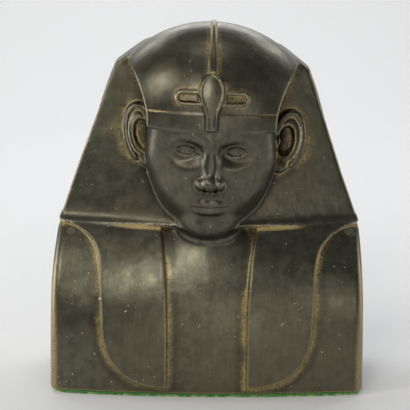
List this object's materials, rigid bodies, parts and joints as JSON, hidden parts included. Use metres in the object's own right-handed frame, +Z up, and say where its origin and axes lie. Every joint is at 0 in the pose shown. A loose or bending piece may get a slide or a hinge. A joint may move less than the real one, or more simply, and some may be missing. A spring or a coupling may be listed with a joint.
{
  "type": "pharaoh bust",
  "caption": "Table-top bust of a pharaoh in a plain nemes headcloth with a cobra on the brow, cast in one, dark bronze patina, green felt under the block-cut base",
  "frame": {"origin": "Middle of the bust's footprint, on the underside of the felt", "axes": "+Z up, +X to the right as seen from the front, the face looks along -Y"},
  "size_m": [0.1892, 0.1106, 0.2231],
  "materials": {
    "bronze_patina": "dark olive-brown bronze patina, satin, with brassy dust in the recesses, worn edges and a few pale chips",
    "green_felt": "bright green felt with a fuzzy cut edge"
  },
  "bodies": {
    "root": {"bust": "bronze_patina", "felt_pad": "green_felt"}
  },
  "joints": []
}
